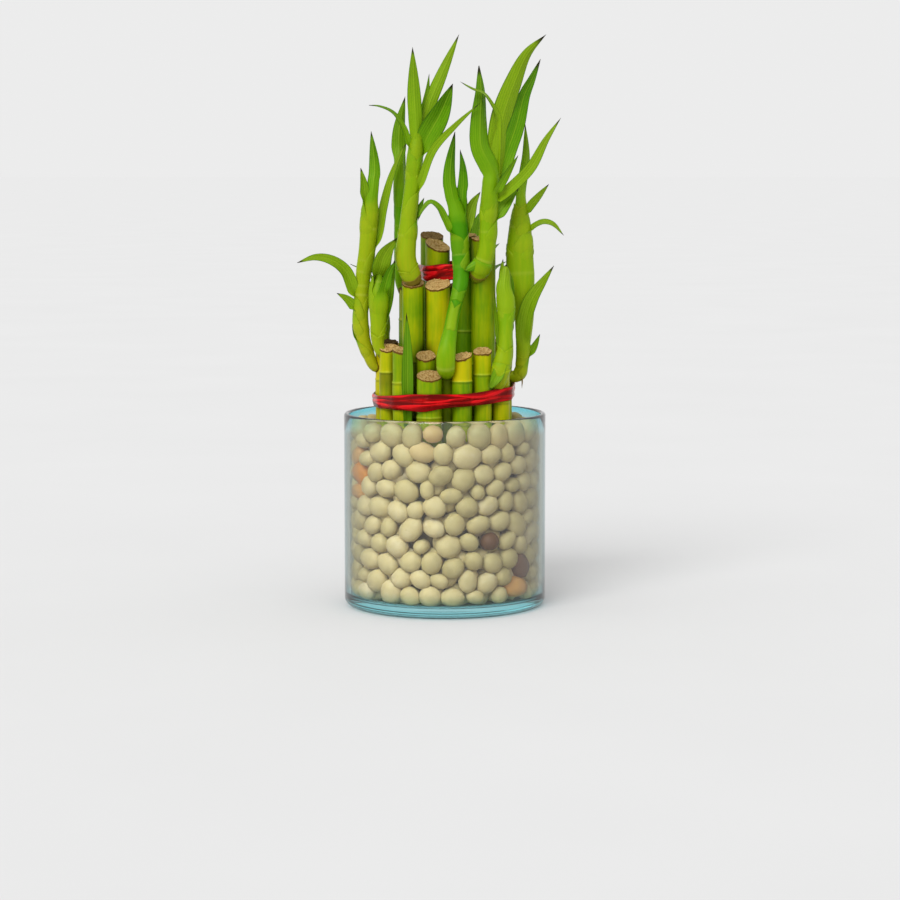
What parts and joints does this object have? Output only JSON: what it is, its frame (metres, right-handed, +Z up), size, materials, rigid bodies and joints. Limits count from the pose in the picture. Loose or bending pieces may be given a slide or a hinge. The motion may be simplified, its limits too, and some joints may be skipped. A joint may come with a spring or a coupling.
{
  "type": "lucky bamboo",
  "caption": "Lucky bamboo: canes in three heights with leafy shoots, tied with red satin ribbon, in a clear glass cylinder of cream pebbles.",
  "frame": {"origin": "middle of the vase's foot, on the surface that it stands on", "axes": "+Z up along the canes, front of the plant towards -Y, +X to the right of a viewer in front"},
  "size_m": [0.1305, 0.1055, 0.281],
  "materials": {
    "glass": "clear polished glass, faintly blue at its edges",
    "pebble": "smooth tumbled cream pebbles with a dull sheen",
    "cane": "living green cane with a waxy skin and a dry tan cut end",
    "leafy_cane": "living green cane and leaves with a soft gloss",
    "ribbon": "red satin ribbon with a silky sheen"
  },
  "bodies": {
    "root": {"vase": "glass", "pebbles": "pebble", "cane_back_2": "cane", "cane_back_4": "cane", "cane_back_6": "cane", "cane_low_front": "cane", "cane_low_front_inner": "cane", "cane_low_front_right": "cane", "cane_low_left_back": "cane", "cane_low_right_front": "cane", "cane_mid_back": "cane", "cane_mid_front": "cane", "cane_top_back": "cane", "cane_top_front": "cane", "cane_top_middle": "cane", "leafy_cane_back_1": "leafy_cane", "leafy_cane_back_3": "leafy_cane", "leafy_cane_back_5": "leafy_cane", "leafy_cane_back_7": "leafy_cane", "leafy_cane_low_front_left": "leafy_cane", "leafy_cane_low_front_slim": "leafy_cane", "leafy_cane_low_left": "leafy_cane", "leafy_cane_low_left_front": "leafy_cane", "leafy_cane_low_right": "leafy_cane", "leafy_cane_low_right_outer": "leafy_cane", "leafy_cane_mid_left": "leafy_cane", "leafy_cane_mid_left_back": "leafy_cane", "leafy_cane_mid_right_back": "leafy_cane", "leafy_cane_top_right": "leafy_cane", "ribbon_lower": "ribbon", "ribbon_upper": "ribbon"}
  },
  "joints": []
}
